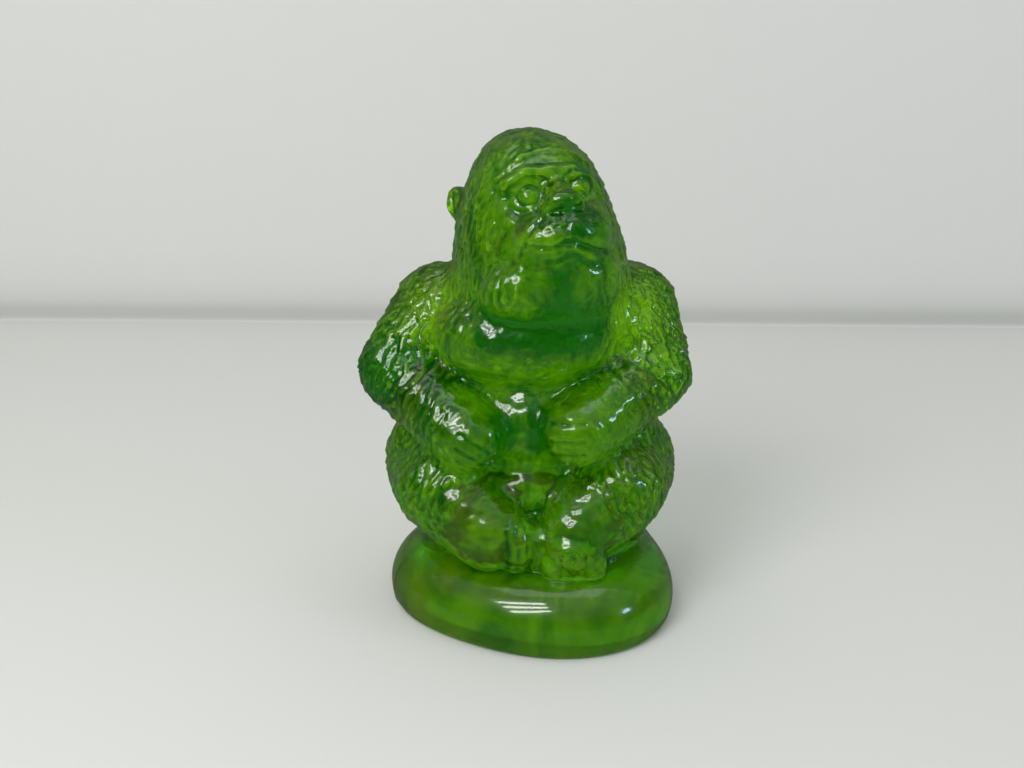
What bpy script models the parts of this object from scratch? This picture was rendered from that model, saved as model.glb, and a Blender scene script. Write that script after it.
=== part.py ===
"""Seated gorilla in solid pressed glass on a pebble foot, all one piece.

It faces -Y, +Z is up, and left and right are the sides of somebody who looks it in the face. Every size is in
millimetres and every angle in degrees; the finished mesh is scaled to metres.
"""

import math

import bmesh
import bpy
import numpy as np
from mathutils import Matrix, Vector
from mathutils.bvhtree import BVHTree
from mathutils.kdtree import KDTree

MILLIMETRE = 0.001

# Foot: a pebble slab, egg-shaped in plan, with its blunt point turned to the front right
FOOT_HEIGHT = 12.6
FOOT_RADIUS = 26.9
FOOT_POINT = 2.1  # how far the plan leans towards its point
FOOT_OVAL = 0.6  # how much longer than wide
FOOT_CORNER = 1.4  # how three-cornered
FOOT_POINT_ANGLE = -53
FOOT_WAIST = 3.6  # height at which it is widest
FOOT_EDGE = 1.5  # how far it draws in from there down to the table
FOOT_SHOULDER_REACH = 9  # how far in the rounding of its upper edge reaches
FOOT_STEPS, FOOT_ROUND_STEPS = 72, 9

# The figure has its own heights, in which the foot's top lies at the seat
SEAT = 12.6

# Trunk: slices of (height, middle in x, half width, front, back)
TRUNK = ((9, 0.5, 17.5, -13, 15), (13, 1.2, 21, -14, 17), (18, 1, 23.6, -13, 19), (23.5, 0.3, 25.8, -12, 20),
         (29, -0.6, 26.4, -11, 20.5), (35, -0.6, 24.6, -10.5, 20), (42, -0.8, 19.5, -11, 19),
         (50, -0.4, 19.5, -11.5, 18.5), (57, 0.2, 19.5, -11, 18), (62, 0.8, 17, -9, 17), (66, 1, 13, -8, 15.5))
CHEST, CHEST_SIZE = Vector((-1.2, -7, 54.8)), (16.6, 11.5, 8.8)
BELLY, BELLY_SIZE = Vector((-1.2, -6.5, 37.5)), (9.5, 8, 9.5)
LAP, LAP_SIZE = Vector((-0.8, -9, 26.6)), (7, 6, 4.2)
SHOULDER_BLADES, BLADE_SIZE = (Vector((-10.5, 8, 50)), Vector((11, 8, 51))), (11.5, 10, 12)
SPINE, SPINE_X, SPINE_WIDTH, SPINE_DEPTH = (62, 50, 40, 30, 22), 0.5, 4, 0.35  # heights of its points first

# Head: slices the same way, with heights above the neck, turned by the yaw
NECK_HEIGHT = 56
SKULL = ((0, 1, 12.5, -12, 15), (4, 1.3, 15.2, -17.5, 16), (8, 1.5, 16, -19.6, 16), (12, 1.3, 15.6, -19.6, 15.5),
         (16, 1, 14.9, -18, 15), (20, 0.8, 13.7, -15.8, 15), (24, 0.6, 12.4, -13.8, 14.5),
         (28, 0.4, 10.4, -12, 13), (31, 0.1, 8, -9.8, 11), (33, -0.1, 4.8, -5.7, 8), (34, -0.3, 0.5, -0.5, 3.5))

# Face, in the head's own frame: x to the right, -y out of the face, z to the crown
HEAD = Vector((1.6, -1, NECK_HEIGHT + 18.3))
HEAD_YAW, HEAD_PITCH, HEAD_ROLL = 14, -26, -7
EYE_SPREAD, EYE_DEPTH, EYE_HEIGHT, EYE_RADIUS = 4.7, -12.4, 1.8, 1.8
LID, SOCKET_RIM, SOCKET = 1.05, 1.5, 2.05  # their radii, as shares of the eye's
UPPER_SOCKET = (20, 160)  # where the fold over the eye starts and ends on its circle
BROW, BROW_RADIUS = ((-7.8, -11.7, 4.6), (-5, -13.4, 5.5), (-1, -13.8, 5.1), (3.3, -13.3, 4.6), (6.6, -11, 3)), 1.5
NOSE, NOSE_SIZE = Vector((-0.4, -17.2, -0.8)), (3, 2.8, 2.2)
NOSTRIL_SPREAD, NOSTRIL_SIZE = 2.4, (1.6, 1.9, 1.5)
WING_INNER, WING_OUTER = 20, 110  # the crease round each nostril, from straight up
CHEEKS, CHEEK_SIZE = ((-6.6, -10.4, -1.8), (5.3, -10.3, -2.4)), (3.2, 2.2, 2.4)
MUZZLE, MUZZLE_SIZE = (-0.5, -11.6, -6), (9.2, 7.8, 5.8)
JAW, JAW_SIZE = (-2.8, -7.2, -12.8), (13, 7.4, 6.4)
JOWLS, JOWL_SIZE = ((-8, -5, -7.6), (5.2, -5.8, -7.6)), (5.8, 5.4, 6.8)
MOUTH = ((-8.4, -6.4), (-6, -7.9), (-4, -8.4), (-2.2, -8), (-0.6, -8.1), (1.2, -9.1), (3.6, -9.9), (6.8, -9.9))
LIP = 1.1  # thickness of the lower lip
EAR, EAR_SIZE = Vector((12.1, 6.4, 6.2)), (2.5, 2.3, 3.4)
HAIRLINE, HAIRLINE_RADIUS, HAIRLINE_HALF_ANGLE = (-0.2, -3), 12.5, 42

# Limbs: how far out the joints of each pair lie, then both joints, left and right, and their radii
SHOULDER_SPREAD, ELBOW_SPREAD, WRIST_SPREAD, HIP_SPREAD, KNEE_SPREAD, ANKLE_SPREAD = 16.8, 24, 11.5, 16.3, 16, 8.7
SHOULDERS, SHOULDER_RADIUS = (Vector((1 - SHOULDER_SPREAD, 5, 53.4)), Vector((1 + SHOULDER_SPREAD, 5, 54))), 10.2
ELBOWS, ELBOW_RADIUS = (Vector((-ELBOW_SPREAD - 1.1, -1.5, 45.9)), Vector((ELBOW_SPREAD - 1.1, -1.5, 45.2))), 7.1
WRISTS, WRIST_RADIUS = (Vector((-WRIST_SPREAD - 1.4, -12.5, 38.4)), Vector((WRIST_SPREAD - 1, -12.5, 39.6))), 6.7
FIST_REACH, FIST_SIZES = 3.1, ((6.2, 6.4, 6), (6.6, 6.6, 6.6))
HIPS, HIP_RADIUS = (Vector((-HIP_SPREAD, 3, 25.5)), Vector((HIP_SPREAD, 3, 25))), 11.8
KNEES, KNEE_RADIUS = (Vector((-KNEE_SPREAD, -9, 25.2)), Vector((KNEE_SPREAD, -9, 25.2))), 8.8
ANKLES, ANKLE_RADIUS = (Vector((1 - ANKLE_SPREAD, -14.6, 19.2)), Vector((ANKLE_SPREAD, -14, 19.6))), 7.5
INSTEP_REACH = (Vector((4.6, -2, -1.8)), Vector((-1, -3.4, -2.8)))  # from each ankle
INSTEP_SIZES = ((4.3, 4.4, 5.4), (5.6, 5.2, 4.6))
TOE_RADIUS = 2.6
DIGIT_GROOVE, DIGIT_DEPTH = 0.5, 0.4  # grooves between the fingers and between the toes

# Hair: overlapping tufts, with bare parts of (centre, half sizes)
TUFT_SPACING, TUFT_LENGTH, TUFT_WIDTH, TUFT_HEIGHT = 2.4, 4, 1.3, 0.65
HAIR_FROM, HAIR_FADE = 13, 4  # where it starts above the table, and over what height
BARE_PARTS = ((Vector((0.5, -20, 57)), (15, 14, 5)), (Vector((-1, -16, 48)), (15, 9, 16)),
              (Vector((-1, -15, 33)), (10, 9, 10)), (Vector((-9, -18, 37)), (8, 9, 8)),
              (Vector((7.5, -18, 38)), (8, 9, 8)), (Vector((-7, -19, 19)), (10, 11, 12)),
              (Vector((8, -20, 18)), (9, 11, 11)))
BARE_FACE, BARE_FACE_SIZE = (-0.9, -14, -6.5), (12.4, 9.5, 16)

# Skin: quads of these sizes, smoothed in so many rounds, then thinned to so many triangles, the face the least
ROUGH_GRAIN, ROUGH_ROUNDS, FINE_GRAIN, FINE_ROUNDS = 0.8, 16, 0.5, 4
TRIANGLES, TRIANGLES_AT_FACE_DENSITY = 9700, 19000
DENSE_CENTRE, DENSE_RADIUS = (-0.5, -17, -3), 10.5

GLASS_COLOUR = (0.045, 0.16, 0.006, 1)  # lime green where thin, bottle green where thick
GLASS_ROUGHNESS = 0.05

BACK = Vector((0, 1, 0))


def place_object(bm, name):
    mesh = bpy.data.meshes.new(name)
    bm.to_mesh(mesh)
    bm.free()
    made = bpy.data.objects.new(name, mesh)
    bpy.context.scene.collection.objects.link(made)
    return made


def take_object(made):
    """The object's mesh with its modifiers applied; the object itself goes."""
    bpy.context.view_layer.update()
    taken = bmesh.new()
    taken.from_object(made, bpy.context.evaluated_depsgraph_get())
    bpy.data.objects.remove(made)
    return taken


def ball(bm, centre, size, turn=None):
    """Adds an ellipsoid with these half sizes."""
    place = Matrix.Translation(centre)
    if turn is not None:
        place = place @ turn.to_4x4()
    bmesh.ops.create_icosphere(bm, subdivisions=4, radius=1, matrix=place @ Matrix.Diagonal((*size, 1)))


def limb(bm, start, start_radius, end, end_radius):
    """Adds a round-ended, tapered limb between two points."""
    turn = (end - start).to_track_quat("Z", "Y").to_matrix()
    for vert in bmesh.ops.create_icosphere(bm, subdivisions=4, radius=1)["verts"]:
        if vert.co.z > 0:
            vert.co = end + turn @ vert.co * end_radius
        else:
            vert.co = start + turn @ vert.co * start_radius


def bridge(bm, rings):
    """Skins a closed body over rings of equally many corners, given from the lowest up."""
    rings = [[bm.verts.new(corner) for corner in ring] for ring in rings]
    for low, high in zip(rings[:-1], rings[1:]):
        for i in range(len(low)):
            bm.faces.new((low[i - 1], low[i], high[i], high[i - 1]))
    bm.faces.new(reversed(rings[0]))
    bm.faces.new(rings[-1])


def stack(bm, slices, base=0, yaw=0, levels=60, steps=48):
    """Adds a body through slices of (height over the base, middle in x, half width, front, back), turned by yaw."""
    columns = np.array(slices, float).T
    turn = Matrix.Rotation(math.radians(yaw), 3, "Z")
    rings = []
    for z in np.linspace(columns[0][0], columns[0][-1], levels):
        middle, half, front, back = (np.interp(z, columns[0], column) for column in columns[1:])
        ring = []
        for i in range(steps):
            a = math.tau * i / steps
            depth = back if math.sin(a) > 0 else -front
            ring.append(Vector((middle, 0, base + z)) + turn @ Vector((half * math.cos(a), depth * math.sin(a), 0)))
        rings.append(ring)
    bridge(bm, rings)


def settle(bm, grain, rounds):
    """Fuses everything in bm into one skin with quads of this size, and smooths it."""
    clay = place_object(bm, "clay")
    fuse = clay.modifiers.new("fuse", "REMESH")
    fuse.mode = "VOXEL"
    fuse.voxel_size = grain
    soften = clay.modifiers.new("soften", "SMOOTH")
    soften.factor = 0.5
    soften.iterations = rounds
    return take_object(clay)


def skin_arrays(bm):
    bm.normal_update()
    return np.array([v.co for v in bm.verts]), np.array([v.normal for v in bm.verts])


def move_skin(bm, places):
    for vert, place in zip(bm.verts, places):
        vert.co = place


def draw(bm, strokes):
    """Draws a round tool along each (path, width, depth): the skin goes in by depth, or out where it is negative."""
    places, normals = skin_arrays(bm)
    shift = np.zeros(len(places))
    for path, width, depth in strokes:
        path = np.array(path)
        reach = 2 * width
        near = np.flatnonzero(np.all((places > path.min(0) - reach) & (places < path.max(0) + reach), axis=1))
        nearest = np.full(len(near), float(reach))
        for a, b in zip(path[:-1], path[1:]):
            along = b - a
            share = np.clip((places[near] - a) @ along / (along @ along), 0, 1)
            nearest = np.minimum(nearest, np.linalg.norm(places[near] - a - share[:, None] * along, axis=1))
        shift[near] += np.exp(-2 * (nearest / width) ** 2) * depth
    move_skin(bm, places - normals * shift[:, None])


def head_turn():
    return (Matrix.Rotation(math.radians(HEAD_YAW), 3, "Z") @ Matrix.Rotation(math.radians(HEAD_PITCH), 3, "X")
            @ Matrix.Rotation(math.radians(HEAD_ROLL), 3, "Y"))


def on_head(place):
    """A place of the head's own frame, in the figure's."""
    return HEAD + head_turn() @ Vector(place)


def mirrored(place, side):
    return Vector((place.x * side, place.y, place.z))


def eye(side):
    return Vector((EYE_SPREAD * side - 0.2, EYE_DEPTH, EYE_HEIGHT))


def nostril(side):
    return NOSE + Vector((NOSTRIL_SPREAD * side, 0.7, -0.5))


def fist(side):
    """Centre of the closed hand, a little beyond the wrist along the forearm."""
    return WRISTS[side] + (WRISTS[side] - ELBOWS[side]).normalized() * FIST_REACH


def instep(side):
    return ANKLES[side] + INSTEP_REACH[side]


def arc(centre, radius, start, end, flat=1, steps=8):
    """Points on an arc in a plane of x and z; flat squashes its height."""
    angles = [math.radians(start + (end - start) * i / steps) for i in range(steps + 1)]
    return [(centre[0] + radius * math.cos(a), centre[1] + radius * flat * math.sin(a)) for a in angles]


def add_masses(bm):
    turn = head_turn()
    stack(bm, TRUNK)
    stack(bm, SKULL, NECK_HEIGHT, HEAD_YAW)
    ball(bm, CHEST, CHEST_SIZE)
    ball(bm, BELLY, BELLY_SIZE)
    for side in (0, 1):
        ball(bm, SHOULDER_BLADES[side], BLADE_SIZE)
        limb(bm, SHOULDERS[side], SHOULDER_RADIUS, ELBOWS[side], ELBOW_RADIUS)
        limb(bm, ELBOWS[side], ELBOW_RADIUS, WRISTS[side], WRIST_RADIUS)
        ball(bm, fist(side), FIST_SIZES[side])
        limb(bm, HIPS[side], HIP_RADIUS, KNEES[side], KNEE_RADIUS)
        limb(bm, KNEES[side], KNEE_RADIUS, ANKLES[side], ANKLE_RADIUS)
    ball(bm, LAP, LAP_SIZE)
    ball(bm, on_head(MUZZLE), MUZZLE_SIZE, turn)
    ball(bm, on_head(JAW), JAW_SIZE, turn)
    for jowl in JOWLS:
        ball(bm, on_head(jowl), JOWL_SIZE, turn)


def add_features(bm):
    turn = head_turn()
    for start, end in zip(BROW[:-1], BROW[1:]):
        limb(bm, on_head(start), BROW_RADIUS, on_head(end), BROW_RADIUS)
    bridge_top = NOSE + Vector((0.1, 3.2, 3.8))
    limb(bm, on_head(bridge_top), NOSE_SIZE[0] * 0.57, on_head(NOSE + Vector((0.2, 0.6, 0.2))), NOSE_SIZE[0] * 0.77)
    ball(bm, on_head(NOSE), NOSE_SIZE, turn)
    for cheek in CHEEKS:
        ball(bm, on_head(cheek), CHEEK_SIZE, turn)
    for side in (-1, 1):
        ear = mirrored(EAR, side)
        ball(bm, on_head(nostril(side)), NOSTRIL_SIZE, turn)
        ball(bm, on_head(eye(side)), (EYE_RADIUS, EYE_RADIUS, EYE_RADIUS), turn)
        ball(bm, on_head(ear), EAR_SIZE, turn)
        ball(bm, on_head(ear + Vector((-2.1 * side, 0.6, -0.8))), (3, 3.2, EAR_SIZE[2] + 0.2), turn)
    for side in (0, 1):
        ball(bm, instep(side), INSTEP_SIZES[side])
    ball(bm, (instep(0) + instep(1)) / 2 + Vector((-0.9, 3, -1.6)), (5, 4.4, 4.5))
    toes = instep(1) + Vector((0, -1.8, -2.3))
    limb(bm, toes - Vector((3.2, 0, 0)), TOE_RADIUS, toes + Vector((3.2, 0, 0)), TOE_RADIUS)


def carve(bm):
    """Draws the face, ears, fingers and toes, and the line of the spine."""
    tree = BVHTree.FromBMesh(bm)
    strokes = []

    def onto_skin(starts, direction, width, depth):
        hits = [tree.ray_cast(start, direction)[0] for start in starts]
        strokes.append(([hit for hit in hits if hit is not None], width, depth))

    def face(path, width, depth):
        onto_skin([on_head((x, -40, z)) for x, z in path], head_turn() @ BACK, width, depth)

    def front(path, width=DIGIT_GROOVE, depth=DIGIT_DEPTH):
        onto_skin([Vector((x, -60, z)) for x, z in path], BACK, width, depth)

    for side in (-1, 1):
        socket = (eye(side).x, eye(side).z)
        wing = (nostril(side).x, nostril(side).z)
        face(arc(socket, EYE_RADIUS * LID, 0, 360, 0.85), 0.5, 0.3)
        face(arc(socket, EYE_RADIUS * SOCKET_RIM, 0, 360, 0.8), 0.55, -0.22)
        face(arc(socket, EYE_RADIUS * SOCKET, *UPPER_SOCKET, 0.8), 0.7, 0.5)
        face([(wing[0] - 0.8 * side, wing[1] - 1.2), (wing[0], wing[1] - 1.1)], 0.65, 0.8)
        face(arc(wing, NOSTRIL_SIZE[0] + 0.3, 90 - WING_OUTER * side, 90 - WING_INNER * side), 0.45, 0.4)
        face([(wing[0] + 2 * side, wing[1] - 1.7), (wing[0] + 4.5 * side, wing[1] - 3.7),
              (wing[0] + 6.3 * side, wing[1] - 6.3)], 0.9, 0.55)
        hollow = mirrored(EAR, side) + Vector(((EAR_SIZE[0] - 0.2) * side, -1, 0))
        strokes.append(([on_head(hollow + Vector((0, 0, 1.4))), on_head(hollow - Vector((0, 0, 1.2)))], 1.2, 0.9))
    face([(NOSE.x - 0.2, NOSE.z - 3.2), (NOSE.x - 1.2, NOSE.z - 5.4)], 0.6, 0.35)
    face(MOUTH, 0.6, 0.85)
    face([(x, z - LIP) for x, z in MOUTH[1:-1]], 0.6, -0.3)
    face([(x * 0.9, z - 2 * LIP) for x, z in MOUTH[1:-1]], 0.6, 0.35)
    face(arc(HAIRLINE, HAIRLINE_RADIUS, 90 - HAIRLINE_HALF_ANGLE, 90 + HAIRLINE_HALF_ANGLE), 0.8, -0.35)

    hand = fist(0)
    for x, z in ((-2, 2.8), (-2.8, 0.2), (-2.5, -2.4)):
        x, z = hand.x + x, hand.z + z
        front([(x, z), (x + 3, z - 1.6), (x + 5.2, z - 3.6)])
    hand = fist(1)
    for z in (3, 0, -2.8):
        z += hand.z
        front([(hand.x + 1, z + 0.4), (hand.x - 2.4, z + 0.2), (hand.x - 5, z - 0.4)])
    foot = instep(0)
    for x in (-1.4, 0.4, 2):
        x += foot.x
        front([(x, foot.z + 4.1), (x + 0.4, foot.z + 0.1), (x + 0.2, foot.z - 3.8)])
    foot = instep(1)
    for x in (-2.4, -0.2, 2):
        x += foot.x
        front([(x, foot.z + 0.7), (x, foot.z - 4)])
    onto_skin([Vector((SPINE_X, 60, z)) for z in SPINE], -BACK, SPINE_WIDTH, SPINE_DEPTH)
    draw(bm, strokes)


def bareness(places):
    """1 where the skin is bare (face, chest, belly, hands, feet), 0 where hair covers it."""
    bare = np.clip((HAIR_FROM + HAIR_FADE - places[:, 2]) / HAIR_FADE, 0, 1)
    regions = [(centre, size, np.eye(3)) for centre, size in BARE_PARTS]
    regions.append((on_head(BARE_FACE), BARE_FACE_SIZE, np.array(head_turn())))
    for centre, size, axes in regions:
        far = np.linalg.norm((places - np.array(centre)) @ axes / np.array(size), axis=1)
        bare = np.maximum(bare, np.clip((1.15 - far) / 0.3, 0, 1))
    return bare


def comb(bm):
    """Lays tufts of hair on the skin, each a ridge that rises along its length and ends bluntly, hanging down."""
    places, normals = skin_arrays(bm)
    bare = bareness(places)
    random = np.random.default_rng(3)
    tree = KDTree(len(places))
    for i, place in enumerate(places):
        tree.insert(place, i)
    tree.balance()
    taken = bare > 0.7
    lift = np.zeros(len(places))
    for root in random.permutation(len(places)):
        if taken[root]:
            continue
        taken[[i for _, i, _ in tree.find_range(places[root], TUFT_SPACING)]] = True
        normal = Vector(normals[root])
        hang = Vector((0.35 * places[root, 0], 0.12 * places[root, 1], -20))
        along = hang - normal * hang.dot(normal)
        if along.length < 4:
            along = normal.orthogonal()
        along = Matrix.Rotation(random.normal(0, 0.3), 3, normal) @ along.normalized()
        across = normal.cross(along)
        length = TUFT_LENGTH * random.uniform(0.7, 1.3)
        near = [i for _, i, _ in tree.find_range(places[root], length)]
        offset = places[near] - places[root]
        s = offset @ np.array(along) / length
        t = offset @ np.array(across) / TUFT_WIDTH
        ridge = np.clip(s + 0.55, 0, 1) * np.clip((0.62 - s) / 0.14, 0, 1) * np.exp(-2 * t ** 2)
        ridge *= (normals[near] @ normals[root] > 0.3) * TUFT_HEIGHT * random.uniform(0.6, 1.2)
        lift[near] = np.maximum(lift[near], ridge)
    lift = (lift - 0.35 * TUFT_HEIGHT) * (1 - bare)
    move_skin(bm, places + normals * lift[:, None])


def make_figure():
    figure = bmesh.new()
    add_masses(figure)
    figure = settle(figure, ROUGH_GRAIN, ROUGH_ROUNDS)
    add_features(figure)
    figure = settle(figure, FINE_GRAIN, FINE_ROUNDS)
    carve(figure)
    comb(figure)
    dense_centre = on_head(DENSE_CENTRE)
    dense = [i for i, vert in enumerate(figure.verts) if (vert.co - dense_centre).length < DENSE_RADIUS]
    figure = place_object(figure, "figure")
    figure.vertex_groups.new(name="dense").add(dense, 1, "REPLACE")
    thin = figure.modifiers.new("thin", "DECIMATE")
    thin.ratio = TRIANGLES_AT_FACE_DENSITY / (2 * len(figure.data.polygons))
    thin_rest = figure.modifiers.new("thin_rest", "DECIMATE")
    thin_rest.ratio = TRIANGLES / TRIANGLES_AT_FACE_DENSITY
    thin_rest.vertex_group = "dense"
    thin_rest.invert_vertex_group = True
    figure.location.z = FOOT_HEIGHT - SEAT
    return figure


def foot_radius(angle):
    turn = angle - math.radians(FOOT_POINT_ANGLE)
    return (FOOT_RADIUS + FOOT_POINT * math.cos(turn) + FOOT_OVAL * math.cos(2 * turn)
            + FOOT_CORNER * math.cos(3 * turn))


def make_foot():
    """The slab as rings of (inset from its plan, height), from the table up to the edge of its level top."""
    quarter = [math.radians(90 * i / FOOT_ROUND_STEPS) for i in range(FOOT_ROUND_STEPS + 1)]
    profile = [(FOOT_EDGE * (1 - math.sin(a)), FOOT_WAIST * (1 - math.cos(a))) for a in quarter[:-1:3]]
    profile += [(FOOT_SHOULDER_REACH * (1 - math.cos(a)), FOOT_WAIST + (FOOT_HEIGHT - FOOT_WAIST) * math.sin(a))
                for a in quarter]
    rings = []
    for inset, height in profile:
        ring = []
        for i in range(FOOT_STEPS):
            a = math.tau * i / FOOT_STEPS
            radius = foot_radius(a) - inset
            ring.append((radius * math.cos(a), radius * math.sin(a), height))
        rings.append(ring)
    foot = bmesh.new()
    bridge(foot, rings)
    return place_object(foot, "foot")


for old in list(bpy.data.objects):
    bpy.data.objects.remove(old)

figure = make_figure()
foot = make_foot()
union = figure.modifiers.new("union", "BOOLEAN")
union.operation = "UNION"
union.solver = "EXACT"
union.object = foot
whole = take_object(figure)
bpy.data.objects.remove(foot)
whole.transform(Matrix.Scale(MILLIMETRE, 4))
gorilla = place_object(whole, "gorilla")
gorilla.data.shade_smooth()

glass = bpy.data.materials.new("lime_glass")
glass.use_nodes = True
shader = glass.node_tree.nodes["Principled BSDF"]
shader.inputs["Base Color"].default_value = GLASS_COLOUR
shader.inputs["Roughness"].default_value = GLASS_ROUGHNESS
shader.inputs["Metallic"].default_value = 0
shader.inputs["Transmission Weight"].default_value = 1
gorilla.data.materials.append(glass)
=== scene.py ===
import math

import bmesh
import bpy
import numpy as np
from mathutils import Matrix, Vector, noise
from mathutils.bvhtree import BVHTree
from mathutils.kdtree import KDTree


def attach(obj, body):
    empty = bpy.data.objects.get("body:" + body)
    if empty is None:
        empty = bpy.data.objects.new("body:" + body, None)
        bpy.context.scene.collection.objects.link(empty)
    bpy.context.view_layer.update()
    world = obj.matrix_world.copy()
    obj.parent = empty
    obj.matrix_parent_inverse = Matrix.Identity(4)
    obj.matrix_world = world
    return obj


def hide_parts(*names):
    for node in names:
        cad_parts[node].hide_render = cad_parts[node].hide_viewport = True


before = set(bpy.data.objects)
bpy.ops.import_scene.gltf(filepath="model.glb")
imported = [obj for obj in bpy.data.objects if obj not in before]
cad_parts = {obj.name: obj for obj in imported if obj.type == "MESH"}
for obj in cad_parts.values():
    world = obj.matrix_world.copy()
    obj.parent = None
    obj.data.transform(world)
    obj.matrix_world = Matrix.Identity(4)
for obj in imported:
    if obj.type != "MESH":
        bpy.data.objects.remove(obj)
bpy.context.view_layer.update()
bpy.ops.object.select_all(action="DESELECT")
MM = 0.001


# Sheet: matt white paper that lies on the table and turns up behind the figure in a tight fold. Its colour is
# painted paler up the wall, as painted light for the less light it catches there, and darker at the fold as painted
# shade. A camera behind the sheet looks through it, and sees a white table top that carries on beyond.

SHEET_HALF_WIDTH, SHEET_FRONT, SHEET_TOP = 900 * MM, 900 * MM, 800 * MM
FOLD_Y, FOLD_SLANT, FOLD_RADIUS, FOLD_STEPS = 169.8 * MM, -0.024, 1.5 * MM, 12
AIR = 0.1 * MM  # the glass stands on the sheet with a trace of air under it
TABLE_SIZE, TABLE_DROP = 2400 * MM, 0.4 * MM
# Paper colours by height up the sheet: painted shade at the fold, painted light paler up the wall
SHEET_PAINTED_SHADES = ((0, "#D7D8D4"), (0.3, "#C3C4C0"), (3.5, "#C5C6C2"), (6.4, "#D5D6D2"), (9.6, "#DBDBD8"),
                   (12.8, "#DFDFDC"), (22.4, "#E2E2DF"), (160, "#E3E3E0"))  # heights in millimetres
MIRRORED_SHEET = 0.18  # painted shade in reflections: the sheet's colour is cut to this share where the glass mirrors it

flat_end = FOLD_Y - FOLD_RADIUS
bpy.ops.mesh.primitive_plane_add(size=1, location=(0, (flat_end - SHEET_FRONT) / 2, -AIR))
sheet = bpy.context.object
sheet.name = "backdrop"
sheet.scale = (2 * SHEET_HALF_WIDTH, flat_end + SHEET_FRONT, 1)
bpy.ops.object.transform_apply(location=True, rotation=True, scale=True)
bpy.ops.object.mode_set(mode="EDIT")
bpy.ops.mesh.select_mode(type="EDGE")
bpy.ops.mesh.select_all(action="DESELECT")
edges = bmesh.from_edit_mesh(sheet.data).edges
max(edges, key=lambda edge: sum(vert.co.y for vert in edge.verts)).select_set(True)
bmesh.update_edit_mesh(sheet.data)
bpy.ops.mesh.spin(steps=FOLD_STEPS, angle=math.radians(90), center=(0, flat_end, FOLD_RADIUS - AIR),
                  axis=(-1, 0, 0))
bpy.ops.mesh.extrude_region_move(TRANSFORM_OT_translate={"value": (0, 0, SHEET_TOP - FOLD_RADIUS)})
bpy.ops.object.mode_set(mode="OBJECT")
sheet.rotation_euler.z = math.atan(FOLD_SLANT)
bpy.ops.object.transform_apply(location=False, rotation=True, scale=False)
sheet.data.shade_smooth()

bpy.ops.mesh.primitive_plane_add(size=TABLE_SIZE, location=(0, TABLE_SIZE / 2 + FOLD_Y, -TABLE_DROP))
table = bpy.context.object
table.name = "table_behind_the_sheet"
bpy.ops.object.transform_apply(location=True, rotation=False, scale=False)


def linear(code, alpha=1):
    """The linear colour of an sRGB hex value."""
    parts = [int(code[i:i + 2], 16) / 255 for i in (1, 3, 5)]
    return (*(c / 12.92 if c <= 0.04045 else ((c + 0.055) / 1.055) ** 2.4 for c in parts), alpha)


def add_node(material, kind, inputs=(), **settings):
    """Adds a node, sets its properties, then sets or links its inputs."""
    node = material.node_tree.nodes.new(kind)
    for name, value in settings.items():
        setattr(node, name, value)
    for name, value in dict(inputs).items():
        if isinstance(value, bpy.types.NodeSocket):
            material.node_tree.links.new(value, node.inputs[name])
        else:
            node.inputs[name].default_value = value
    return node


# Uncoated paper, which scatters all light: no gloss, and the same white from everywhere
paper = bpy.data.materials.new("matt_white_paper")
paper.use_nodes = True
shader = paper.node_tree.nodes["Principled BSDF"]
place = add_node(paper, "ShaderNodeTexCoord").outputs["Object"]
height = add_node(paper, "ShaderNodeSeparateXYZ", {"Vector": place}).outputs["Z"]
top_shade = SHEET_PAINTED_SHADES[-1][0]
up_sheet = add_node(paper, "ShaderNodeMapRange", {"Value": height, "From Min": 0, "From Max": top_shade * MM})
# The paper's colour by height: painted shade darker at the fold, painted light paler up the wall
painted_sheet_shade = add_node(paper, "ShaderNodeValToRGB", {"Fac": up_sheet.outputs["Result"]})
shades = painted_sheet_shade.color_ramp.elements
shades[0].color = linear(SHEET_PAINTED_SHADES[0][1])
shades[1].color = linear(SHEET_PAINTED_SHADES[-1][1])
for level, code in SHEET_PAINTED_SHADES[1:-1]:
    shades.new(level / top_shade).color = linear(code)

# Painted shade in reflections: the sheet's colour is darkened where the glass mirrors it.
# A ray bent by the glass counts as glossy too, so those are taken off to leave the mirrored ones
rays = add_node(paper, "ShaderNodeLightPath").outputs
mirrored = add_node(paper, "ShaderNodeMath", {0: rays["Is Glossy Ray"], 1: rays["Is Transmission Ray"]},
                    operation="SUBTRACT")
share = add_node(paper, "ShaderNodeMapRange", {"Value": mirrored.outputs["Value"], "To Min": 1,
                                               "To Max": MIRRORED_SHEET})
seen = add_node(paper, "ShaderNodeVectorMath", {0: painted_sheet_shade.outputs["Color"], "Scale": share.outputs["Result"]},
                operation="SCALE")
paper.node_tree.links.new(seen.outputs["Vector"], shader.inputs["Base Color"])
shader.inputs["Roughness"].default_value = 0.9
rear = add_node(paper, "ShaderNodeNewGeometry").outputs["Backfacing"]
unseen = add_node(paper, "ShaderNodeMath", {0: rear, 1: rays["Is Camera Ray"]}, operation="MULTIPLY")
clear = add_node(paper, "ShaderNodeBsdfTransparent")
both_sides = add_node(paper, "ShaderNodeMixShader", {0: unseen.outputs["Value"], 1: shader.outputs["BSDF"],
                                                     2: clear.outputs["BSDF"]})
paper.node_tree.links.new(both_sides.outputs["Shader"], paper.node_tree.nodes["Material Output"].inputs["Surface"])
for piece in (sheet, table):
    piece.data.materials.append(paper)


# Camera and light: the camera stands in front and a little above, 270 mm off. Three long tubes side by side hang
# in front above the figure, and a small bluish window is far off to its right; the room around is pale.

CAMERA_PLACE, CAMERA_TILT = (-3.5 * MM, -269.7 * MM, 140.5 * MM), 70
PHOTO_WIDTH, FOCAL_LENGTH, SENSOR_WIDTH = 1024, 1538, 36  # the first two in pixels, the last in millimetres
LIT_PLACE = Vector((0, -5 * MM, 45 * MM))
ROOM_LIGHT = 0.62

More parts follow.
